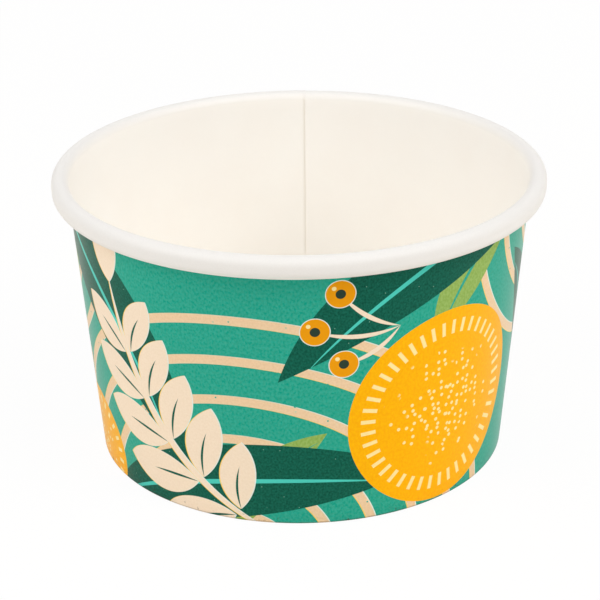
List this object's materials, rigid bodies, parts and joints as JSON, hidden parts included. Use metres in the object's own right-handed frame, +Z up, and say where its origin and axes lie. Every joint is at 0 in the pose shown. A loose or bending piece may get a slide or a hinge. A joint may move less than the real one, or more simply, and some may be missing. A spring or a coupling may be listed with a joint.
{
  "type": "paper dessert cup",
  "caption": "Short, wide paper cup for ice cream and desserts, with a lapped side seam, a rolled rim and a recessed base held in the wall's hem.",
  "frame": {"origin": "centre of the foot, on the table", "axes": "+Z up along the cup's axis, +Y towards the side seam, +X to the right when the seam is at the back"},
  "size_m": [0.097, 0.0971, 0.0575],
  "materials": {
    "printed_board": "coated board, printed outside and white inside, satin",
    "white_board": "coated white board, satin"
  },
  "bodies": {
    "root": {"side_wall": "printed_board", "base_disc": "white_board"}
  },
  "joints": []
}
